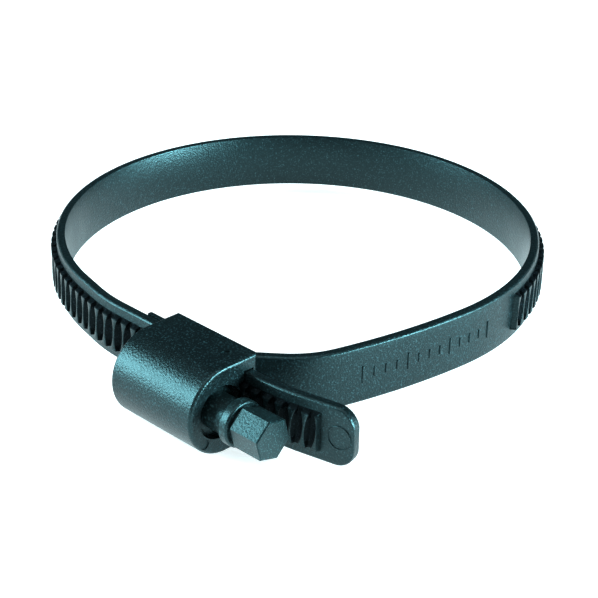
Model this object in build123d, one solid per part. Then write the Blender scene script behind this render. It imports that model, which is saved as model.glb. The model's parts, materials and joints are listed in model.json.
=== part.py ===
from build123d import *
import math
import os

# Plastic worm-drive hose clamp. Z is the hose's axis, and the origin is the centre of the round part of
# the loop at mid-width. The band is followed counter-clockwise, seen from +Z: from the housing's back up
# the plain ramp, round the loop, through the housing along +X and out to the tail. The worm lies along X.

# ---- band ----
BAND_WIDTH = 13.0
BAND_THICK = 2.0
BAND_BEVEL = 0.45          # on the two outer edges
LOOP_RADIUS = 53.2         # inner face of the round part

# ---- band route, from the housing's back: turns in degrees, radii and lengths in mm ----
RAMP_HEADING = 41.0
RAMP_LENGTH = 12.0
RAMP_BEND_RADIUS = 19.4
RAMP_BEND_TURN = 31.5
SIDE_RADIUS = 150.0
SIDE_TURN = 12.5
LOOP_TURN = 261.75         # from heading 85 degrees to 346.75 degrees
LEAD_LENGTH = 6.0
LEAD_RADIUS = 40.0
LEAD_TURN = 13.25          # ends parallel to +X
TAIL_BEND_X = 42.5
TAIL_BEND_RADIUS = 58.0
TAIL_BEND_TURN = 12.5
TAIL_TIP_X = 66.6
TAIL_CORNER = 4.4
TAIL_RING_RADIUS = 2.7
TAIL_RING_INSET = 3.3      # from the tip to the ring's centre
RING_RAISE = 0.2
RING_WIDTH = 0.35

# ---- rack ----
PITCH = 3.0
RACK_HEIGHT = 1.3
RACK_HALF_WIDTH = 4.2
RACK_SIDE_SLOPE = 0.35     # how far each side leans in over the rack's height
RACK_START_AZIMUTH = 12.6
RACK_END_X = 60.0
RACK_FIRST_GAP_X = 31.0    # a gap centre under the worm, in mesh with its thread

# ---- worm screw ----
WORM_RADIUS = 6.1
WORM_CREST = 0.7
WORM_ROOT_RADIUS = 4.55
FLANK_ANGLE = 28.0
WORM_START_X = 24.6
WORM_END_X = 37.6
TIP_CLEARANCE = 0.25       # thread crest to the floor of a rack gap
GAP_FLOOR = 0.05           # left of the rack at the bottom of a gap
FLANK_CLEARANCE = 0.2
TIP_JOURNAL_RADIUS = 2.6
JOURNAL_RADIUS = 4.85
NECK_RADIUS = 3.85
FLANGE_RADIUS = 4.95
FLANGE_THICK = 2.4
FLANGE_ROUND = 0.5
HEX_ACROSS_FLATS = 8.0
HEX_LENGTH = 7.3
HEX_TURN = 44.5            # from +Y towards +Z to one corner of the hexagon
HEX_CHAMFER = 0.25
FLANGE_X = 45.4
HEX_X = 48.5
THREAD_SEAT = 0.4          # how far the thread runs into the root

# ---- housing ----
HOUSING_START_X = 17.6
HOUSING_END_X = 41.2
HOUSING_RADIUS = 9.5
HOUSING_FRONT_SHIFT = 1.3  # from the worm's axis towards the band, to the middle of the round front
HOUSING_BACK_WALL = 1.0
END_WALL = 5.6
TIP_POCKET = 1.6           # depth of the tip's bearing in the end wall
END_PLAY = 0.2
RUNNING_CLEARANCE = 0.06
BORE_CLEARANCE = 0.3
BAND_CLEARANCE = 0.2       # outside the band
INNER_CLEARANCE = 0.35     # inside it, where the band rises a little as it moves
LIP_X = 38.3
LIP_LENGTH = 1.1
RECESS_RADIUS = 5.7
EDGE_ROUND = 0.7
TONGUE_LENGTH = 8.0
TONGUE_THICK = 1.0
EJECTOR_RADIUS = 1.1
EJECTOR_DEPTH = 0.2
EJECTOR_DISTANCE = 8.0     # from the middle of the round front
TOP_MARK_FROM_END = 4.0
TOP_MARK_FROM_BACK = 4.5

# ---- flexures: the places where the rigid stretches of the band turn on each other ----
FLEXURE_AZIMUTHS = [5.0, 70.0, 135.0, 200.0]
LAST_FLEXURE_X = -3.5
FLEXURE_CLEARANCE = 0.08
RACK_SLIT = 0.25           # half the gap between the rails of neighbouring stretches

# ---- raised graduation on the plain side ----
TICK_FIRST_AZIMUTH = -34.0
TICK_COUNT = 13
TICK_STEP = 3.0
TICK_LONG_EVERY = 4
TICK_WIDTH = 0.5
TICK_LONG = 4.0
TICK_SHORT = 2.2
TICK_RAISE = 0.2
TICK_SINK = 0.3


def forward(heading):
    return Vector(math.cos(math.radians(heading)), math.sin(math.radians(heading)), 0)


def leftward(heading):
    return forward(heading + 90.0)


def lay_route(steps, start, heading):
    """Each step is (length, radius, turn); the radius of a straight is None. All turns go left."""
    route = []
    station = 0.0
    for length, radius, turn in steps:
        leg = {"from": station, "to": station + length, "at": start, "heading": heading, "radius": radius}
        route.append(leg)
        if radius is None:
            start = start + forward(heading) * length
        else:
            centre = start + leftward(heading) * radius
            heading = heading + turn
            start = centre - leftward(heading) * radius
        station = station + length
    return route


def arc_step(radius, turn):
    return (radius * math.radians(turn), radius, turn)


def route_to_loop():
    """The inner face from the housing's back to the tail's tip, with the loop's centre at the origin."""
    loop_heading = RAMP_HEADING + RAMP_BEND_TURN + SIDE_TURN
    steps = [
        (RAMP_LENGTH, None, 0.0),
        arc_step(RAMP_BEND_RADIUS, RAMP_BEND_TURN),
        arc_step(SIDE_RADIUS, SIDE_TURN),
        arc_step(LOOP_RADIUS, LOOP_TURN),
        (LEAD_LENGTH, None, 0.0),
        arc_step(LEAD_RADIUS, LEAD_TURN),
    ]
    trial = lay_route(steps, Vector(0, 0, 0), RAMP_HEADING)
    loop = trial[3]
    centre = loop["at"] + leftward(loop_heading) * LOOP_RADIUS
    straight_start = lay_route(steps + [(1.0, None, 0.0)], centre * -1, RAMP_HEADING)[-1]["at"]
    steps.append((TAIL_BEND_X - straight_start.X, None, 0.0))
    steps.append(arc_step(TAIL_BEND_RADIUS, TAIL_BEND_TURN))
    bend_run = TAIL_BEND_RADIUS * math.sin(math.radians(TAIL_BEND_TURN))
    last_run = (TAIL_TIP_X - TAIL_BEND_X - bend_run) / math.cos(math.radians(TAIL_BEND_TURN))
    steps.append((last_run, None, 0.0))
    return lay_route(steps, centre * -1, RAMP_HEADING)


ROUTE = route_to_loop()
LOOP = ROUTE[3]
STRAIGHT = ROUTE[6]
ROUTE_END = ROUTE[-1]["to"]
BAND_INNER_Y = STRAIGHT["at"].Y
BAND_OUTER_Y = BAND_INNER_Y - BAND_THICK
AXIS_TO_BAND = WORM_RADIUS + TIP_CLEARANCE + GAP_FLOOR
WORM_Y = BAND_OUTER_Y - AXIS_TO_BAND
BAND_SIDE_Y = BAND_INNER_Y + INNER_CLEARANCE      # the housing's face on the band's inner side
HOUSING_BACK_Y = BAND_SIDE_Y + HOUSING_BACK_WALL
POCKET_X = HOUSING_START_X + END_WALL             # where the worm's bore starts


def on_leg(part, station):
    """Point and heading at a station of one leg of the route."""
    run = station - part["from"]
    if part["radius"] is None:
        return part["at"] + forward(part["heading"]) * run, part["heading"]
    heading = part["heading"] + math.degrees(run / part["radius"])
    centre = part["at"] + leftward(part["heading"]) * part["radius"]
    return centre - leftward(heading) * part["radius"], heading


def where(station, offset=0.0):
    """Point and heading at a station; offset is measured outwards from the inner face."""
    part = next(p for p in ROUTE if station <= p["to"] or p is ROUTE[-1])
    point, heading = on_leg(part, station)
    return point - leftward(heading) * offset, heading


def station_at_azimuth(azimuth):
    turned = azimuth + 90.0 - LOOP["heading"]
    return LOOP["from"] + LOOP_RADIUS * math.radians(turned)


def station_at_x(x):
    """On the straight run through the housing, and on the tail as if it ran straight on."""
    return STRAIGHT["from"] + x - STRAIGHT["at"].X


def middle_station(inner_station):
    """Length along the band's middle, which doesn't stretch, up to a station of the inner face."""
    total = 0.0
    for part in ROUTE:
        run = min(inner_station, part["to"]) - part["from"]
        if run > 0:
            stretch = 1.0 if part["radius"] is None else 1.0 + BAND_THICK / 2 / part["radius"]
            total = total + run * stretch
    return total


def inner_station(middle):
    """The other way round: the inner face's station at a length along the band's middle."""
    station = 0.0
    for part in ROUTE:
        stretch = 1.0 if part["radius"] is None else 1.0 + BAND_THICK / 2 / part["radius"]
        length = (part["to"] - part["from"]) * stretch
        if middle <= length:
            return station + middle / stretch
        middle = middle - length
        station = part["to"]
    return ROUTE_END


def local_frame(station):
    """X along the band, Y inwards, Z up, on the inner face."""
    point, heading = where(station)
    return Plane(origin=point, x_dir=forward(heading), z_dir=(0, 0, 1))


def sweep_section(outline, start, end):
    """A section of (outwards, up) points carried along the route, straight by straight and arc by arc."""
    solid = None
    for part in ROUTE:
        first = max(start, part["from"])
        last = min(end, part["to"])
        if last - first < 1e-6:
            continue
        point, heading = on_leg(part, first)
        section = Plane(origin=point, x_dir=leftward(heading) * -1, z_dir=forward(heading) * -1)
        face = section * make_face(Polyline([(x, y) for x, y in outline], close=True))
        if part["radius"] is None:
            piece = extrude(face, amount=-(last - first))
        else:
            turn = math.degrees((last - first) / part["radius"])
            centre = point + leftward(heading) * part["radius"]
            piece = revolve(face, axis=Axis(centre, (0, 0, 1)), revolution_arc=turn)
        solid = piece if solid is None else solid + piece
    return solid


def band_outline():
    half = BAND_WIDTH / 2
    shoulder = BAND_THICK - BAND_BEVEL
    return [
        (0, -half),
        (shoulder, -half),
        (BAND_THICK, -half + BAND_BEVEL),
        (BAND_THICK, half - BAND_BEVEL),
        (shoulder, half),
        (0, half),
    ]


def rack_outline():
    root = BAND_THICK - BAND_BEVEL
    crest = BAND_THICK + RACK_HEIGHT
    return [
        (root, -RACK_HALF_WIDTH),
        (BAND_THICK, -RACK_HALF_WIDTH),
        (crest, -RACK_HALF_WIDTH + RACK_SIDE_SLOPE),
        (crest, RACK_HALF_WIDTH - RACK_SIDE_SLOPE),
        (BAND_THICK, RACK_HALF_WIDTH),
        (root, RACK_HALF_WIDTH),
    ]


def gap_cutter():
    """What the thread sweeps out of the rack, with clearance, and a slot that opens the gap's ends.

    Both are tilted to the thread's lead.
    """
    reach = WORM_RADIUS + TIP_CLEARANCE
    crest_half = WORM_CREST / 2 + FLANK_CLEARANCE
    hub = WORM_ROOT_RADIUS - THREAD_SEAT
    hub_half = crest_half + (reach - hub) * math.tan(math.radians(FLANK_ANGLE))
    left_side = [(-hub_half, 0), (-hub_half, hub), (-crest_half, reach)]
    outline = left_side + [(crest_half, reach), (hub_half, hub), (hub_half, 0)]
    disc = revolve(make_face(Polyline(outline, close=True)), axis=Axis.X)
    lead = math.degrees(math.atan(PITCH / (2 * math.pi * (WORM_RADIUS - RACK_HEIGHT / 2))))
    slot = Pos(0, reach - RACK_HEIGHT, 0) * Box(2 * crest_half, 2 * RACK_HEIGHT, 3 * RACK_HALF_WIDTH)
    return Pos(0, -(BAND_THICK + AXIS_TO_BAND), 0) * Rot(0, lead, 0) * (disc + slot)


def gap_stations():
    """Every gap of the rack, one pitch apart along the band's middle."""
    reference = middle_station(station_at_x(RACK_FIRST_GAP_X))
    first = middle_station(station_at_azimuth(RACK_START_AZIMUTH))
    last = middle_station(station_at_x(RACK_END_X))
    lowest = math.ceil((first - reference) / PITCH)
    highest = math.floor((last - reference) / PITCH)
    return [inner_station(reference + PITCH * k) for k in range(lowest, highest + 1)]


GAPS = gap_stations()


def nearest_gap(station):
    return min(GAPS, key=lambda gap: abs(gap - station))


def flexure_stations():
    first = station_at_azimuth(FLEXURE_AZIMUTHS[0])
    others = [nearest_gap(station_at_azimuth(azimuth)) for azimuth in FLEXURE_AZIMUTHS[1:]]
    return [first] + others + [nearest_gap(station_at_x(LAST_FLEXURE_X))]


FLEXURES = flexure_stations()


def axis_point(station):
    """A flexure's axis: the middle of the band's thickness."""
    return where(station, BAND_THICK / 2)[0]


def knuckle(station, radius):
    """A round bar about the flexure's axis, at the middle of the band's thickness."""
    return Pos(axis_point(station)) * Cylinder(radius, BAND_WIDTH - 2 * BAND_BEVEL)


def knuckle_socket(station):
    return Pos(axis_point(station)) * Cylinder(BAND_THICK / 2 + FLEXURE_CLEARANCE, BAND_WIDTH + 1)


def band_stretch(start, end, knuckle_first, socket_last):
    """One rigid stretch of band, with its rack where it has one."""
    solid = sweep_section(band_outline(), start, end)
    rack_from = max(start + (RACK_SLIT if knuckle_first else 0.0), GAPS[0] - PITCH / 2)
    rack_to = min(end - (RACK_SLIT if socket_last else 0.0), GAPS[-1] + PITCH / 2)
    if rack_to - rack_from > PITCH:
        solid = solid + sweep_section(rack_outline(), rack_from, rack_to)
        cutter = gap_cutter()
        near = [gap for gap in GAPS if start - PITCH < gap < end + PITCH]
        solid = solid - [local_frame(gap).location * cutter for gap in near]
    if knuckle_first:
        solid = solid + knuckle(start, BAND_THICK / 2)
    if socket_last:
        solid = solid - knuckle_socket(end)
    return solid


def make_strap_root():
    """The plain ramp and side, one moulding with the housing, up to the first flexure."""
    solid = band_stretch(0.0, FLEXURES[0], False, True)
    room = 4 * BAND_WIDTH
    below_back = Pos(0, HOUSING_BACK_Y - room / 2, 0) * Box(4 * LOOP_RADIUS, room, room)
    solid = solid - below_back
    for tick in range(TICK_COUNT):
        station = station_at_azimuth(TICK_FIRST_AZIMUTH + TICK_STEP * tick)
        length = TICK_LONG if tick % TICK_LONG_EVERY == 0 else TICK_SHORT
        bar = Box(TICK_WIDTH, TICK_RAISE + TICK_SINK, length)
        outwards = BAND_THICK + (TICK_RAISE - TICK_SINK) / 2
        solid = solid + local_frame(station).location * Pos(0, -outwards, 0) * bar
    return solid


def make_band_tail():
    """From the last flexure through the housing to the rounded tip."""
    solid = band_stretch(FLEXURES[-1], ROUTE_END, True, False)
    tip, heading = where(ROUTE_END)
    half = BAND_WIDTH / 2
    blank = Plane(origin=tip, x_dir=forward(heading), z_dir=leftward(heading) * -1)
    depth = 4 * BAND_THICK
    for side in (1, -1):
        corner = Box(TAIL_CORNER, TAIL_CORNER, depth)
        notch = Pos(-TAIL_CORNER / 2, side * (half - TAIL_CORNER / 2), 0) * corner
        rounder = Pos(-TAIL_CORNER, side * (half - TAIL_CORNER), 0) * Cylinder(TAIL_CORNER, depth)
        solid = solid - blank.location * (notch - rounder)
    outer_tip = tip - leftward(heading) * BAND_THICK
    face = Plane(origin=outer_tip, x_dir=forward(heading), z_dir=leftward(heading) * -1)
    ring = Cylinder(TAIL_RING_RADIUS, 2 * RING_RAISE)
    ring = ring - Cylinder(TAIL_RING_RADIUS - RING_WIDTH, 2 * RING_RAISE)
    return solid + face.location * Pos(-TAIL_RING_INSET, 0, 0) * ring


def along_worm(x):
    """Plane square to the worm at x, with its own X towards the band and its Z along +X."""
    return Plane(origin=(x, WORM_Y, 0), x_dir=(0, 1, 0), z_dir=(1, 0, 0))


def rod(start_x, end_x, radius):
    """A round bar on the worm's axis."""
    bar = Cylinder(radius, end_x - start_x, align=(Align.CENTER, Align.CENTER, Align.MIN))
    return along_worm(start_x).location * bar


def make_thread():
    """Right-hand thread, one start, with its crest on the gap centres where it meets the rack."""
    turns_before = math.ceil((RACK_FIRST_GAP_X - WORM_START_X) / PITCH) + 1
    start_x = RACK_FIRST_GAP_X - turns_before * PITCH
    height = WORM_END_X + PITCH - start_x
    seat = WORM_ROOT_RADIUS - THREAD_SEAT
    slope = math.tan(math.radians(FLANK_ANGLE))
    crest_half = WORM_CREST / 2
    seat_half = crest_half + (WORM_RADIUS - seat) * slope
    path = Helix(PITCH, height, WORM_RADIUS)
    outline = [(seat, -seat_half), (WORM_RADIUS, -crest_half), (WORM_RADIUS, crest_half), (seat, seat_half)]
    profile = Plane.XZ * make_face(Polyline(outline, close=True))
    thread = sweep(profile, path=path, is_frenet=True)
    thread = along_worm(start_x).location * thread
    length = WORM_END_X - WORM_START_X
    barrel = Cylinder(WORM_RADIUS, length, align=(Align.CENTER, Align.CENTER, Align.MIN))
    barrel = chamfer(barrel.edges().filter_by(GeomType.CIRCLE), WORM_RADIUS - WORM_ROOT_RADIUS)
    return thread & (along_worm(WORM_START_X).location * barrel)


def make_worm_screw():
    tip_x = POCKET_X - TIP_POCKET + END_PLAY
    root_end_x = LIP_X - END_PLAY
    solid = rod(tip_x, WORM_START_X, TIP_JOURNAL_RADIUS)
    solid = solid + rod(POCKET_X + END_PLAY, root_end_x, WORM_ROOT_RADIUS)
    solid = solid + rod(root_end_x, LIP_X + LIP_LENGTH + END_PLAY, JOURNAL_RADIUS)
    solid = solid + rod(LIP_X, HEX_X + HEX_LENGTH / 2, NECK_RADIUS)
    flange = rod(FLANGE_X, FLANGE_X + FLANGE_THICK, FLANGE_RADIUS)
    flange = fillet(flange.edges().filter_by(GeomType.CIRCLE), FLANGE_ROUND)
    solid = solid + flange
    corner_radius = HEX_ACROSS_FLATS / 2 / math.cos(math.radians(30))
    head = extrude(RegularPolygon(corner_radius, 6, rotation=HEX_TURN), HEX_LENGTH)
    head = chamfer(head.faces().sort_by(Axis.Z)[-1].edges(), HEX_CHAMFER)
    solid = solid + along_worm(HEX_X).location * head
    return solid + make_thread()


def housing_blank():
    """D section: a round front, flat top and bottom, and a flat back."""
    length = HOUSING_END_X - HOUSING_START_X
    middle_x = (HOUSING_START_X + HOUSING_END_X) / 2
    front = Pos(0, HOUSING_FRONT_SHIFT, 0) * rod(HOUSING_START_X, HOUSING_END_X, HOUSING_RADIUS)
    depth = HOUSING_BACK_Y - WORM_Y - HOUSING_FRONT_SHIFT
    height = 2 * HOUSING_RADIUS
    limits = Pos(middle_x, HOUSING_BACK_Y - HOUSING_RADIUS, 0) * Box(length, height, height)
    block = Pos(middle_x, HOUSING_BACK_Y - depth / 2, 0) * Box(length, depth, height)
    blank = (front & limits) + block
    ends = blank.faces().filter_by(Axis.X)
    return fillet(ends.edges(), EDGE_ROUND)


def make_housing():
    solid = housing_blank()
    tongue = Box(TONGUE_LENGTH + END_WALL, TONGUE_THICK, BAND_WIDTH)
    tongue_x = HOUSING_START_X + (END_WALL - TONGUE_LENGTH) / 2
    solid = solid + Pos(tongue_x, BAND_SIDE_Y + TONGUE_THICK / 2, 0) * tongue
    middle_x = (HOUSING_START_X + HOUSING_END_X) / 2
    reach = HOUSING_END_X - HOUSING_START_X + 2
    outer_y = BAND_OUTER_Y - BAND_CLEARANCE
    crest_y = outer_y - RACK_HEIGHT
    channel = Box(reach, BAND_SIDE_Y - outer_y, BAND_WIDTH + 2 * BAND_CLEARANCE)
    solid = solid - Pos(middle_x, (BAND_SIDE_Y + outer_y) / 2, 0) * channel
    rack_channel = Box(reach, BAND_SIDE_Y - crest_y, 2 * (RACK_HALF_WIDTH + BAND_CLEARANCE))
    solid = solid - Pos(middle_x, (BAND_SIDE_Y + crest_y) / 2, 0) * rack_channel
    tip_radius = TIP_JOURNAL_RADIUS + RUNNING_CLEARANCE
    solid = solid - rod(POCKET_X - TIP_POCKET, POCKET_X + END_PLAY, tip_radius)
    solid = solid - rod(POCKET_X, LIP_X, WORM_RADIUS + BORE_CLEARANCE)
    solid = solid - rod(LIP_X - END_PLAY, HOUSING_END_X + 1, JOURNAL_RADIUS + RUNNING_CLEARANCE)
    solid = solid - rod(LIP_X + LIP_LENGTH, HOUSING_END_X + 1, RECESS_RADIUS)
    diagonal = EJECTOR_DISTANCE * math.sqrt(0.5)
    end_mark = rod(HOUSING_END_X - EJECTOR_DEPTH, HOUSING_END_X + 1, EJECTOR_RADIUS)
    solid = solid - Pos(0, HOUSING_FRONT_SHIFT - diagonal, -diagonal) * end_mark
    mark_x = HOUSING_END_X - TOP_MARK_FROM_END
    mark_y = HOUSING_BACK_Y - TOP_MARK_FROM_BACK
    return solid - Pos(mark_x, mark_y, HOUSING_RADIUS) * Cylinder(EJECTOR_RADIUS, 2 * EJECTOR_DEPTH)


def write(name, shape):
    os.makedirs("parts", exist_ok=True)
    export_step(shape, f"parts/{name}.step")
    print(name, "volume", round(shape.volume, 1))


PARTS = {"housing": make_housing(), "strap_root": make_strap_root(), "worm_screw": make_worm_screw()}
for number in range(1, len(FLEXURES)):
    PARTS[f"band_{number}"] = band_stretch(FLEXURES[number - 1], FLEXURES[number], True, True)
PARTS["band_tail"] = make_band_tail()

for part_name, part_shape in PARTS.items():
    write(part_name, part_shape)

for number, station in enumerate(FLEXURES, 1):
    point = axis_point(station)
    print("flexure", number, "at", round(point.X, 4), round(point.Y, 4))
print("worm axis Y", round(WORM_Y, 4), "band inner Y", round(BAND_INNER_Y, 4), "gaps", len(GAPS))
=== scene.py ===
import json
import math

import bmesh
import bpy
from mathutils import Matrix, Vector


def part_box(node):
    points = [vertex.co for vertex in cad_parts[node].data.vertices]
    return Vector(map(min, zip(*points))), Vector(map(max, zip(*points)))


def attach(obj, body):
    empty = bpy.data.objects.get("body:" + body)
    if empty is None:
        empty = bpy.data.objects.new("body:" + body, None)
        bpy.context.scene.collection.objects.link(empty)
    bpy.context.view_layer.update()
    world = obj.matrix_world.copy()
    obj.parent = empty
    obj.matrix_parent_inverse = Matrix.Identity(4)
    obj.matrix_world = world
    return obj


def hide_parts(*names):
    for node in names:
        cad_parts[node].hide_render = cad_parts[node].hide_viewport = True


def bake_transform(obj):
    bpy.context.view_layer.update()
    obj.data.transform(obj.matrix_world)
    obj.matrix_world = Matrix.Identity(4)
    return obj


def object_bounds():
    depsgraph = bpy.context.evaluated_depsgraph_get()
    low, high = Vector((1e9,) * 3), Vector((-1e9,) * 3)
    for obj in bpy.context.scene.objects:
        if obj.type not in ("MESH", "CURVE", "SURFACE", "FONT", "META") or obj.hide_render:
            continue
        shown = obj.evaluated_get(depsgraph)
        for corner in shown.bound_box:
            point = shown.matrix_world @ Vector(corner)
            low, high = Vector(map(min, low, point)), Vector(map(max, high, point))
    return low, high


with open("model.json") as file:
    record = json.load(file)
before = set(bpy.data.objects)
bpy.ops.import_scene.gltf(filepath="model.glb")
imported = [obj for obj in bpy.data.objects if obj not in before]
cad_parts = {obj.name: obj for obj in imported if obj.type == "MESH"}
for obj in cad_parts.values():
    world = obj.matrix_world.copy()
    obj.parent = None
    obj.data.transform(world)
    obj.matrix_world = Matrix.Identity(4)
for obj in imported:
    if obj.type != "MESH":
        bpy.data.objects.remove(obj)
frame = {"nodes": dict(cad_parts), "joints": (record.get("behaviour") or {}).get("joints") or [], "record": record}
CAD_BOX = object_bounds()

# Lengths are in millimetres, as in the CAD, and become metres when a mesh is made or the camera is placed.
# Only those of the floor, the lights and the camera's clipping are in metres from the start.
MM = 0.001
RECORD = frame["record"]
JOINTS = {joint["name"]: joint for joint in frame["joints"]}

# ---- band section ----
BAND_WIDTH = 13.0
BAND_THICK = 2.0
BAND_BEVEL = 0.45
INNER_ROUND = 0.2
EDGE_SOFTNESS = 0.1
MID_ROUND = 0.3     # a round's middle lies about this share of its radius in from both its edges

# ---- band route: turns in degrees, all to the left ----
LOOP_RADIUS = RECORD["mounts"][0]["dims"]["r_mm"]
RAMP_HEADING = 41.0
RAMP_BEND_RADIUS = 19.4
RAMP_BEND_TURN = 31.5
SIDE_RADIUS = 150.0
SIDE_TURN = 12.5
LOOP_TURN = 261.75
LEAD_LENGTH = 6.0
LEAD_RADIUS = 40.0
LEAD_TURN = 13.25
TAIL_BEND_X = 42.5
TAIL_BEND_RADIUS = 58.0
TAIL_BEND_TURN = 12.5
TAIL_CORNER = 4.4
CORNER_STEPS = 9
# the rings that round the tail's tip: distance from its end, and inset towards mid-thickness
TIP_ROUND = ((0.03, 0.05), (0.0, 0.2))
TAIL_TIP_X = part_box("band_tail")[1].x / MM - BAND_THICK * math.sin(math.radians(TAIL_BEND_TURN))

# ---- rack ----
PITCH = 3.0
RACK_HEIGHT = 1.3
GAP_FLOOR = 0.05
GAP_WEAR = 0.15     # how much wider than the thread's sweep a gap looks on each side
HALF_CREST_LEAST = 0.17
RACK_HALF_WIDTH = 4.2
RACK_SIDE_SLOPE = 0.35
RACK_START_AZIMUTH = 12.6
RACK_END_X = 60.0
GAP_UNDER_WORM_X = 31.0
WORM_RADIUS = 6.1
THREAD_CREST = 0.7
THREAD_FLANK = 28.0
THREAD_PLAY = 0.2
CREST_CLEARANCE = 0.25
GAP_REACH = WORM_RADIUS + CREST_CLEARANCE
AXIS_TO_RACK_TOP = GAP_REACH + GAP_FLOOR - RACK_HEIGHT
HALF_GAP_FLOOR = THREAD_CREST / 2 + THREAD_PLAY
# the rack's rounded long edges, as (height, half width) from its foot on the band and from its crest
FOOT_ROUND = ((0.0, 0.12), (0.04, 0.02))
CREST_ROUND = ((-0.14, 0.06), (-0.04, -0.02), (0.0, -0.12))
SLOPE_FOOT = 0.3        # from the rack's end to where its slope meets the plain band
PLAIN_FROM = 0.35       # from the rack's end to the plain ring beyond that foot
ROOT_MARGIN = 0.5       # from the root's evenly spaced rings on to the rack
TAIL_MARGIN = 0.3       # from that plain ring on to the tail's evenly spaced rings

# ---- raised marks ----
TICK_FIRST_AZIMUTH = -34.0
TICK_COUNT = 13
TICK_STEP = 3.0
TICK_LONG_EVERY = 4
TICK_WIDTH = 0.5
TICK_LONG = 4.0
TICK_SHORT = 2.2
TICK_END_STEPS = 6
# each layer of a tick: its height over the band, and its share of the tick's width
TICK_LAYERS = ((-0.1, 1.0), (0.12, 0.96), (0.18, 0.8), (0.2, 0.5))
RING_RADIUS = 2.7
RING_INSET = 3.3
RING_WIDTH = 0.35
RING_RAISE = 0.2
RING_SIDES = 48
BEAD_SIDES = 10

# ---- flexures: how many there are, and so how many lengths the band is made in ----
FLEXURE_COUNT = 5

# ---- looks: sizes in millimetres, the angle in degrees ----
SMOOTH_ANGLE = 40.0
NYLON_IOR = 1.53
NYLON_TINT = (0.55, 0.94, 1.0, 1.0)
SPECK_SIZE = 0.36
SPECK_RANGE = (0.56, 0.8)
SPECK_BRIGHTNESS = 10.0
PATCH_SIZE = 16.0
PATCH_RANGE = (0.3, 0.7)
PATCH_SMOOTHER = 0.05
PATCH_ROUGHER = 0.07
GRAIN_SIZE = 0.42

# ---- stage: lengths in metres ----
FLOOR_HALF_SIZE = 6.0
FLOOR_GLOW = 0.65
WORLD_COLOUR = (0.5, 0.88, 1.0, 1.0)
WORLD_STRENGTH = 0.12
LIGHT_TARGET = (0.02, -0.02, 0.0)
OVERHEAD_COLOUR = (1.0, 1.0, 1.0)
SOFTBOX_COLOUR = (0.62, 0.94, 1.0)

# ---- view: where the photograph was taken from, in millimetres and degrees ----
CAMERA_ELEVATION = 27.25
CAMERA_AZIMUTH = -45.74
CAMERA_ROLL = 1.15
CAMERA_DISTANCE = 389.4
CAMERA_LENS = 106.9
CAMERA_TARGET = (17.72, -17.38, 0.0)


# ---------------------------------------------------------------- route ----

def forward(heading):
    return Vector((math.cos(math.radians(heading)), math.sin(math.radians(heading)), 0.0))


def leftward(heading):
    return forward(heading + 90.0)


def lay_route(steps, start, heading):
    """The inner face of the band as straights and arcs; each step is (length, radius or None)."""
    route = []
    station = 0.0
    for length, radius in steps:
        end = station + length
        part = {"from": station, "to": end, "at": start.copy(), "heading": heading, "radius": radius}
        route.append(part)
        if radius is None:
            start = start + forward(heading) * length
        else:
            centre = start + leftward(heading) * radius
            heading = heading + math.degrees(length / radius)
            start = centre - leftward(heading) * radius
        station = end
    return route


def arc(radius, turn):
    return (radius * math.radians(turn), radius)


def band_route():
    """From the housing's back round to the tail's tip, with the loop's centre at the origin."""
    ramp_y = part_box("strap_root")[0].y / MM
    steps = [
        arc(RAMP_BEND_RADIUS, RAMP_BEND_TURN),
        arc(SIDE_RADIUS, SIDE_TURN),
        arc(LOOP_RADIUS, LOOP_TURN),
        (LEAD_LENGTH, None),
        arc(LEAD_RADIUS, LEAD_TURN),
    ]
    trial = lay_route(steps, Vector((0, 0, 0)), RAMP_HEADING)
    loop = trial[2]
    start = -(loop["at"] + leftward(loop["heading"]) * LOOP_RADIUS)
    ramp_length = (start.y - ramp_y) / forward(RAMP_HEADING).y
    steps.insert(0, (ramp_length, None))
    start = start - forward(RAMP_HEADING) * ramp_length
    straight = lay_route(steps + [(1.0, None)], start, RAMP_HEADING)[-1]["at"]
    bend_run = TAIL_BEND_RADIUS * math.sin(math.radians(TAIL_BEND_TURN))
    last_run = (TAIL_TIP_X - TAIL_BEND_X - bend_run) / math.cos(math.radians(TAIL_BEND_TURN))
    steps.append((TAIL_BEND_X - straight.x, None))
    steps.append(arc(TAIL_BEND_RADIUS, TAIL_BEND_TURN))
    steps.append((last_run, None))
    return lay_route(steps, start, RAMP_HEADING)


# The route's parts: ramp, bend, side, loop, lead, bend, straight, the tail's bend and the tail's last run.
ROUTE = band_route()
LOOP = ROUTE[3]
STRAIGHT = ROUTE[6]
ROUTE_END = ROUTE[-1]["to"]


def where(station):
    """Point of the inner face and heading at a station; a station past either end runs straight on."""
    part = next((p for p in ROUTE if station <= p["to"]), ROUTE[-1])
    run = station - part["from"]
    if part["radius"] is None:
        return part["at"] + forward(part["heading"]) * run, part["heading"]
    heading = part["heading"] + math.degrees(run / part["radius"])
    centre = part["at"] + leftward(part["heading"]) * part["radius"]
    return centre - leftward(heading) * part["radius"], heading


def on_band(station, outwards, up):
    """Point in the shared frame, in metres, at a height above the inner face and a height above mid-width."""
    point, heading = where(station)
    point = point - leftward(heading) * outwards
    return Vector((point.x, point.y, up)) * MM


def station_at_azimuth(azimuth):
    return LOOP["from"] + LOOP_RADIUS * math.radians(azimuth + 90.0 - LOOP["heading"])


def station_at_x(x):
    return STRAIGHT["from"] + x - STRAIGHT["at"].x


def stretch_of(part):
    return 1.0 if part["radius"] is None else 1.0 + BAND_THICK / 2 / part["radius"]


def middle_length(station):
    """Length along the middle of the band's thickness, which keeps the rack's pitch."""
    runs = [(max(0.0, min(station, p["to"]) - p["from"]), stretch_of(p)) for p in ROUTE]
    return sum(run * stretch for run, stretch in runs)


def station_at_middle(middle):
    for part in ROUTE:
        length = (part["to"] - part["from"]) * stretch_of(part)
        if middle <= length:
            return part["from"] + middle / stretch_of(part)
        middle = middle - length
    return ROUTE_END


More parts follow.
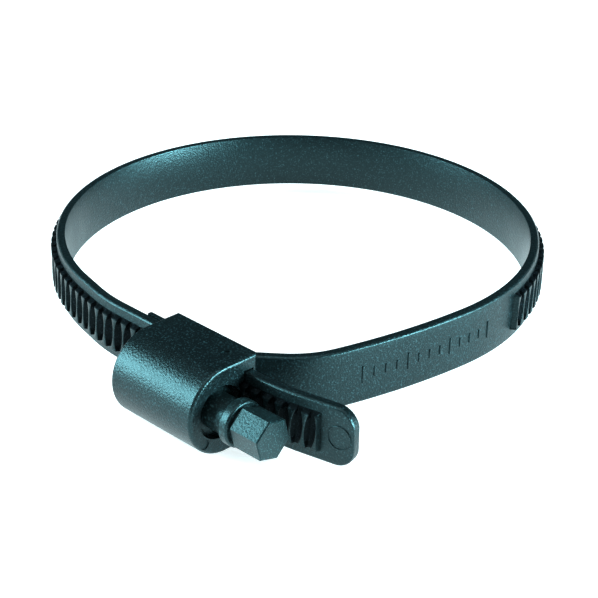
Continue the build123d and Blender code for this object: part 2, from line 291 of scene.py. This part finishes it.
def rack_gaps():
    """Stations of the rack's gaps, one pitch apart, with one gap in mesh under the worm."""
    reference = middle_length(station_at_x(GAP_UNDER_WORM_X))
    first = math.ceil((middle_length(station_at_azimuth(RACK_START_AZIMUTH)) - reference) / PITCH)
    last = math.floor((middle_length(station_at_x(RACK_END_X)) - reference) / PITCH)
    return [station_at_middle(reference + PITCH * k) for k in range(first, last + 1)]


GAPS = rack_gaps()
LEAD_SLOPE = PITCH / (2 * math.pi * (WORM_RADIUS - RACK_HEIGHT / 2))


# ------------------------------------------------------------ mesh tools ----

def new_object(name, mesh_data, *materials):
    mesh = bpy.data.meshes.new(name)
    mesh_data.to_mesh(mesh)
    mesh_data.free()
    piece = bpy.data.objects.new(name, mesh)
    bpy.context.scene.collection.objects.link(piece)
    for material in materials:
        mesh.materials.append(material)
    mesh.shade_smooth()
    mesh.set_sharp_from_angle(angle=math.radians(SMOOTH_ANGLE))
    return piece


def add_tube(work, rings, endless=False):
    """Walls between neighbouring rings of points, with a cap at each end unless the last meets the first."""
    loops = [[work.verts.new(point) for point in ring] for ring in rings]
    count = len(rings[0])
    pairs = list(zip(loops, loops[1:]))
    if endless:
        pairs.append((loops[-1], loops[0]))
    else:
        work.faces.new(loops[0][::-1])
        work.faces.new(loops[-1])
    for near, far in pairs:
        for k in range(count):
            after = (k + 1) % count
            work.faces.new((near[k], near[after], far[after], far[k]))


def tube_of_rings(rings):
    work = bmesh.new()
    add_tube(work, rings)
    bmesh.ops.recalc_face_normals(work, faces=work.faces)
    return work


# ------------------------------------------------------------------ band ----

def half_gap(height_from_axis, up):
    """Half the width of a rack gap at a height over the worm's axis: a slice of the thread's swept disc."""
    radius = math.hypot(height_from_axis, up)
    return HALF_GAP_FLOOR + max(0.0, GAP_REACH - radius) * math.tan(math.radians(THREAD_FLANK))


CAPS = 2        # a tube's end faces, which come before its walls
RAIL = RACK_HALF_WIDTH - RACK_SIDE_SLOPE       # half the rack's width at its crests
GAP_END = math.sqrt(GAP_REACH ** 2 - AXIS_TO_RACK_TOP ** 2)
RACK_ROWS = [GAP_END * share for share in (0.92, 0.84, 0.75, 0.64, 0.52, 0.39, 0.26, 0.12)]


def section():
    """The band's outline as (outwards, up, on_rack) points, from mid inner face round by the top edge."""
    half = BAND_WIDTH / 2
    soft = EDGE_SOFTNESS
    shoulder = BAND_THICK - BAND_BEVEL
    top = [
        (0.0, 0.0, False),
        (0.0, half - INNER_ROUND, False),
        (INNER_ROUND * MID_ROUND, half - INNER_ROUND * MID_ROUND, False),
        (INNER_ROUND, half, False),
        (shoulder - soft, half, False),
        (shoulder + 2 * soft * MID_ROUND, half - soft * MID_ROUND, False),
        (BAND_THICK - soft * MID_ROUND, half - BAND_BEVEL + 2 * soft * MID_ROUND, False),
        (BAND_THICK, half - BAND_BEVEL - soft, False),
    ]
    crest = BAND_THICK + RACK_HEIGHT
    top = top + [(BAND_THICK + rise, RACK_HALF_WIDTH + aside, rise > 0) for rise, aside in FOOT_ROUND]
    top = top + [(crest + rise, RAIL + aside, True) for rise, aside in CREST_ROUND]
    top = top + [(crest, row, True) for row in RACK_ROWS]
    bottom = [(out, -up, on_rack) for out, up, on_rack in reversed(top[1:])]
    return top + [(crest, 0.0, True)] + bottom


SECTION = section()


def plain_ring(station, raised=False, inset=0.0, width_share=1.0):
    """A ring square to the band. inset shrinks it towards mid-thickness, for a rounded end."""
    ring = []
    for out, up, on_rack in SECTION:
        if not raised:
            out = min(out, BAND_THICK)
        middle = BAND_THICK / 2
        out = middle + (out - middle) * (1 - inset / middle)
        share = width_share * (1 - inset / (BAND_WIDTH / 2))
        ring.append(on_band(station, out, up * share))
    return ring


# Columns across half a cell, from the crest to the gap's middle: first, for the plain rows, the share of half
# a pitch; then, for the rack's rows, what the column follows, how far beside it, and how far down the gap.
CELL_COLUMNS = [
    (1.0, "crest", 0.0, 0.0),
    (0.8, "top", 0.07, 0.0),
    (0.72, "top", -0.07, 0.07),
    (0.24, "floor", 0.07, 0.93),
    (0.17, "floor", -0.07, 1.0),
]
RINGS_IN_CELL = 2 * len(CELL_COLUMNS) - 1
GAP_STRIPS = range(2, RINGS_IN_CELL - 2)        # a cell's strips between rings that are its gap's inside


def gap_rings(gap, before, after):
    """Rings across one cell of the rack, from mid-crest to just before the next, with an open gap between."""
    floor = BAND_THICK + GAP_FLOOR
    columns = [(-1, column) for column in CELL_COLUMNS]
    columns = columns + [(1, column) for column in reversed(CELL_COLUMNS[1:])]
    rings = []
    for side, (share, follows, beside, sunk) in columns:
        half_pitch = (before if side < 0 else after) / 2
        ring = []
        for out, up, on_rack in SECTION:
            if not on_rack:
                ring.append(on_band(gap + side * share * half_pitch, out, up))
                continue
            top_half = min(half_gap(AXIS_TO_RACK_TOP, up) + GAP_WEAR, half_pitch - HALF_CREST_LEAST)
            followed = {"crest": half_pitch, "top": top_half, "floor": HALF_GAP_FLOOR}[follows]
            shift = followed + beside
            depth = max(0.0, out - floor) * sunk
            ring.append(on_band(gap + side * shift + LEAD_SLOPE * up, out - depth, up))
        rings.append(ring)
    return rings


def crest_ring(station):
    return [on_band(station + (LEAD_SLOPE * up if on_rack else 0.0), out, up) for out, up, on_rack in SECTION]


def mid_crest(index):
    """Station of the crest before gap number index."""
    return (GAPS[index - 1] + GAPS[index]) / 2


def band_rings(first_gap, last_gap):
    rings = []
    for k in range(first_gap, last_gap + 1):
        before = GAPS[k] - GAPS[k - 1] if k > 0 else GAPS[1] - GAPS[0]
        after = GAPS[k + 1] - GAPS[k] if k + 1 < len(GAPS) else GAPS[-1] - GAPS[-2]
        rings = rings + gap_rings(GAPS[k], before, after)
    return rings


def paint_gap_shade(work, rings_before, gap_count):
    """Gives the second material, painted shade, to the gaps' walls and floors and to the rack's sides: near-black
    and low in gloss, it darkens them where shade falls.
    """
    work.faces.ensure_lookup_table()
    count = len(SECTION)
    rack_rows = [k for k in range(count - 1) if SECTION[k][2] or SECTION[k + 1][2]]
    crest_edge = RAIL + CREST_ROUND[-1][1]
    side_rows = [k for k in rack_rows if max(abs(SECTION[k][1]), abs(SECTION[k + 1][1])) > crest_edge]
    for strip in range(RINGS_IN_CELL * gap_count):
        in_gap = strip % RINGS_IN_CELL in GAP_STRIPS
        for row in rack_rows if in_gap else side_rows:
            work.faces[CAPS + (rings_before + strip) * count + row].material_index = 1


def plain_stations(start, end, step=1.5):
    count = max(1, math.ceil((end - start) / step))
    return [start + (end - start) * k / count for k in range(count + 1)]


def rack_end_rings(station, rising):
    """The short step from the plain band up to the rack, or down again."""
    away = -1 if rising else 1
    low = plain_ring(station + away * PLAIN_FROM)
    near = plain_ring(station + away * SLOPE_FOOT)
    high = plain_ring(station, raised=True)
    return [low, near, high] if rising else [high, near, low]


def tail_rings():
    """The plain end of the tail, with its rounded corners."""
    half = BAND_WIDTH / 2
    start = GAPS[-1] + PITCH / 2 + PLAIN_FROM + TAIL_MARGIN
    corner_start = ROUTE_END - TAIL_CORNER
    rings = [plain_ring(s) for s in plain_stations(start, corner_start)]
    for k in range(1, CORNER_STEPS):
        angle = math.radians(90.0 * k / CORNER_STEPS)
        narrowing = TAIL_CORNER * (1 - math.cos(angle))
        station = corner_start + TAIL_CORNER * math.sin(angle)
        rings.append(plain_ring(station, width_share=1 - narrowing / half))
    last_share = 1 - TAIL_CORNER / half
    for from_end, inset in TIP_ROUND:
        rings.append(plain_ring(ROUTE_END - from_end, inset=inset, width_share=last_share))
    return rings


def root_rings():
    """The plain ramp and side, up to the start of the rack."""
    rack_start = GAPS[0] - PITCH / 2
    rings = [plain_ring(s) for s in plain_stations(0.0, rack_start - ROOT_MARGIN)]
    return rings + rack_end_rings(rack_start, rising=True)


def gap_after(station):
    return next(k for k, gap in enumerate(GAPS) if gap > station)


def flexure_station(number):
    """Station of a flexure: its joint's place, which is at the middle of the band's thickness."""
    place = Vector(JOINTS[f"flexure_{number}"]["pos_m"]) / MM
    stations = plain_stations(0.0, ROUTE_END, step=0.25)
    return min(stations, key=lambda s: (on_band(s, BAND_THICK / 2, 0.0) / MM - place).length)


FLEXURES = [flexure_station(number) for number in range(1, FLEXURE_COUNT + 1)]
SEAMS = [gap_after((near + far) / 2) for near, far in zip(FLEXURES, FLEXURES[1:])]


def make_band(material, gap_shade_material):
    """Five lengths of band, each round one flexure's place and meeting the next in the middle of a crest."""
    stands_for = [["strap_root"], ["band_1"], ["band_2"], ["band_3"], ["band_4", "band_tail"]]
    at_tail = FLEXURE_COUNT - 1
    for number in range(FLEXURE_COUNT):
        first = 0 if number == 0 else SEAMS[number - 1]
        last = len(GAPS) - 1 if number == at_tail else SEAMS[number] - 1
        rings = band_rings(first, last)
        rings_before = 0
        if number == 0:
            root = root_rings()
            rings_before = len(root)
            rings = root + rings
        if number < at_tail:
            rings.append(crest_ring(mid_crest(SEAMS[number])))
        else:
            rings = rings + rack_end_rings(GAPS[-1] + PITCH / 2, rising=False) + tail_rings()
        work = tube_of_rings(rings)
        # the gaps and the rack's sides take the second material, which paints shade into them
        paint_gap_shade(work, rings_before, last - first + 1)
        piece = new_object(f"band_length_{number + 1}", work, material, gap_shade_material)
        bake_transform(piece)
        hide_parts(*stands_for[number])


def make_graduation(material):
    """Raised ticks on the plain side, each a bar with round ends and a crowned top."""
    work = bmesh.new()
    half = TICK_WIDTH / 2
    for tick in range(TICK_COUNT):
        station = station_at_azimuth(TICK_FIRST_AZIMUTH + TICK_STEP * tick)
        reach = (TICK_LONG if tick % TICK_LONG_EVERY == 0 else TICK_SHORT) / 2 - half
        outline = []
        for side in (1, -1):
            angles = [math.radians(180.0 * k / TICK_END_STEPS) for k in range(TICK_END_STEPS + 1)]
            round_end = [(side * half * math.cos(a), side * (reach + half * math.sin(a))) for a in angles]
            outline = outline + round_end
        rings = []
        for rise, share in TICK_LAYERS:
            ring = []
            for x, up in outline:
                length_share = 1 - (1 - share) * half / abs(up) if up else 1
                ring.append(on_band(station + x * share, BAND_THICK + rise, up * length_share))
            rings.append(ring)
        add_tube(work, rings)
    bmesh.ops.recalc_face_normals(work, faces=work.faces)
    piece = new_object("graduation", work, material)
    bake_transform(piece)


def make_tail_ring(material):
    """The mould mark near the tail's tip: a low round bead in a circle."""
    centre = ROUTE_END - RING_INSET
    rings = []
    for turn in range(RING_SIDES):
        angle = math.radians(360.0 * turn / RING_SIDES)
        ring = []
        for k in range(BEAD_SIDES):
            around = math.radians(360.0 * k / BEAD_SIDES)
            radius = RING_RADIUS - RING_WIDTH / 2 + RING_WIDTH / 2 * math.cos(around)
            rise = RING_RAISE * math.sin(around)
            place = on_band(centre + radius * math.cos(angle), BAND_THICK + rise, radius * math.sin(angle))
            ring.append(place)
        rings.append(ring)
    work = bmesh.new()
    add_tube(work, rings, endless=True)
    bmesh.ops.recalc_face_normals(work, faces=work.faces)
    piece = new_object("tail_ring", work, material)
    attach(piece, "tail")


# ------------------------------------------------------------- materials ----

def noise(nodes, links, place, size, detail):
    """Object-space noise whose features are about size millimetres across."""
    texture = nodes.new("ShaderNodeTexNoise")
    texture.inputs["Scale"].default_value = 1.0 / (size * MM)
    texture.inputs["Detail"].default_value = detail
    links.new(place.outputs["Object"], texture.inputs["Vector"])
    return texture


def mapped(nodes, links, source, from_range, to_range):
    scale = nodes.new("ShaderNodeMapRange")
    scale.inputs["From Min"].default_value, scale.inputs["From Max"].default_value = from_range
    scale.inputs["To Min"].default_value, scale.inputs["To Max"].default_value = to_range
    links.new(source.outputs["Fac"], scale.inputs["Value"])
    return scale


def nylon(name, colour, roughness, gloss=0.5, grain_depth=0.1):
    """Moulded nylon: a fine grain, pale specks as of glass fibre, and patches that shine more or less."""
    material = bpy.data.materials.new(name)
    material.use_nodes = True
    nodes = material.node_tree.nodes
    links = material.node_tree.links
    shader = nodes["Principled BSDF"]
    shader.inputs["IOR"].default_value = NYLON_IOR
    shader.inputs["Specular IOR Level"].default_value = gloss
    shader.inputs["Specular Tint"].default_value = NYLON_TINT
    place = nodes.new("ShaderNodeTexCoord")

    speck_noise = noise(nodes, links, place, SPECK_SIZE, detail=1.0)
    specks = mapped(nodes, links, speck_noise, SPECK_RANGE, (0.0, 1.0))
    tint = nodes.new("ShaderNodeMix")
    tint.data_type = "RGBA"
    tint.inputs["A"].default_value = (*colour, 1.0)
    tint.inputs["B"].default_value = (*[c * SPECK_BRIGHTNESS for c in colour], 1.0)
    links.new(specks.outputs["Result"], tint.inputs["Factor"])
    links.new(tint.outputs["Result"], shader.inputs["Base Color"])

    patch_noise = noise(nodes, links, place, PATCH_SIZE, detail=3.0)
    roughness_range = (roughness - PATCH_SMOOTHER, roughness + PATCH_ROUGHER)
    patches = mapped(nodes, links, patch_noise, PATCH_RANGE, roughness_range)
    links.new(patches.outputs["Result"], shader.inputs["Roughness"])

    grain = noise(nodes, links, place, GRAIN_SIZE, detail=2.0)
    bump = nodes.new("ShaderNodeBump")
    bump.inputs["Strength"].default_value = 1.0
    bump.inputs["Distance"].default_value = grain_depth * MM
    links.new(grain.outputs["Fac"], bump.inputs["Height"])
    links.new(bump.outputs["Normal"], shader.inputs["Normal"])
    return material


def floor_material():
    material = bpy.data.materials.new("pale_floor")
    material.use_nodes = True
    shader = material.node_tree.nodes["Principled BSDF"]
    shader.inputs["Base Color"].default_value = (0.9, 0.9, 0.9, 1.0)
    shader.inputs["Roughness"].default_value = 0.9
    shader.inputs["Specular IOR Level"].default_value = 0.1
    shader.inputs["Emission Color"].default_value = (1.0, 1.0, 1.0, 1.0)
    shader.inputs["Emission Strength"].default_value = FLOOR_GLOW
    return material


# ----------------------------------------------------------------- stage ----

def make_floor():
    """A plain pale floor just under the object's lowest point."""
    size = FLOOR_HALF_SIZE
    work = bmesh.new()
    corners = [(-size, -size), (size, -size), (size, size), (-size, size)]
    height = CAD_BOX[0].z
    work.faces.new([work.verts.new((x, y, height)) for x, y in corners])
    floor = new_object("floor", work, floor_material())


def aim(item, position, target):
    item.location = position
    direction = Vector(target) - Vector(position)
    item.rotation_euler = direction.to_track_quat("-Z", "Y").to_euler()


def make_light(name, position, size, power, colour):
    data = bpy.data.lights.new(name, "AREA")
    data.shape = "RECTANGLE"
    data.size, data.size_y = size
    data.energy = power
    data.color = colour
    lamp = bpy.data.objects.new(name, data)
    bpy.context.scene.collection.objects.link(lamp)
    aim(lamp, position, LIGHT_TARGET)


def make_lights():
    """A soft light overhead, and two low softboxes.

    The left one puts the long highlight on the housing, and the right one lights the plain side and the
    hexagon's end.
    """
    world = bpy.data.worlds.new("studio")
    bpy.context.scene.world = world
    world.use_nodes = True
    background = world.node_tree.nodes["Background"]
    background.inputs["Color"].default_value = WORLD_COLOUR
    background.inputs["Strength"].default_value = WORLD_STRENGTH
    make_light("overhead", (0.1, -0.3, 1.1), (1.2, 1.2), power=8.0, colour=OVERHEAD_COLOUR)
    make_light("left_softbox", (-0.66, -0.72, 0.36), (0.6, 0.6), power=20.0, colour=SOFTBOX_COLOUR)
    make_light("right_softbox", (0.95, 0.42, 0.2), (0.5, 0.35), power=32.0, colour=SOFTBOX_COLOUR)


def make_camera():
    data = bpy.data.cameras.new("camera")
    data.lens = CAMERA_LENS
    data.sensor_width = 36.0
    data.clip_start = 0.01
    data.clip_end = 20.0
    camera = bpy.data.objects.new("camera", data)
    bpy.context.scene.collection.objects.link(camera)
    elevation = math.radians(CAMERA_ELEVATION)
    azimuth = math.radians(CAMERA_AZIMUTH)
    level_reach = math.cos(elevation)
    back = Vector((level_reach * math.cos(azimuth), level_reach * math.sin(azimuth), math.sin(elevation)))
    target = Vector(CAMERA_TARGET) * MM
    camera.location = target + back * CAMERA_DISTANCE * MM
    level = (-back).to_track_quat("-Z", "Y").to_matrix()
    camera.rotation_euler = (level @ Matrix.Rotation(math.radians(CAMERA_ROLL), 3, "Z")).to_euler()
    bpy.context.scene.camera = camera


# ------------------------------------------------------------------ make ----

BAND_NYLON = nylon("band_nylon", colour=(0.004, 0.008, 0.009), roughness=0.33)
SCREW_NYLON = nylon("screw_nylon", colour=(0.006, 0.013, 0.014), roughness=0.36, grain_depth=0.06)
# painted shade for the rack's gaps and sides: a near-black, low-gloss nylon standing in for the shade that falls
# there
GAP_SHADE_NYLON = nylon("gap_painted_shade", colour=(0.002, 0.003, 0.004), roughness=0.5, gloss=0.12)

make_band(BAND_NYLON, GAP_SHADE_NYLON)
make_graduation(BAND_NYLON)
make_tail_ring(BAND_NYLON)
for node, material in (("housing", BAND_NYLON), ("worm_screw", SCREW_NYLON)):
    piece = frame["nodes"][node]
    piece.data.materials.clear()
    piece.data.materials.append(material)

make_floor()
make_lights()
make_camera()
bpy.context.scene.view_settings.view_transform = "Standard"
bpy.context.scene.view_settings.gamma = 0.85
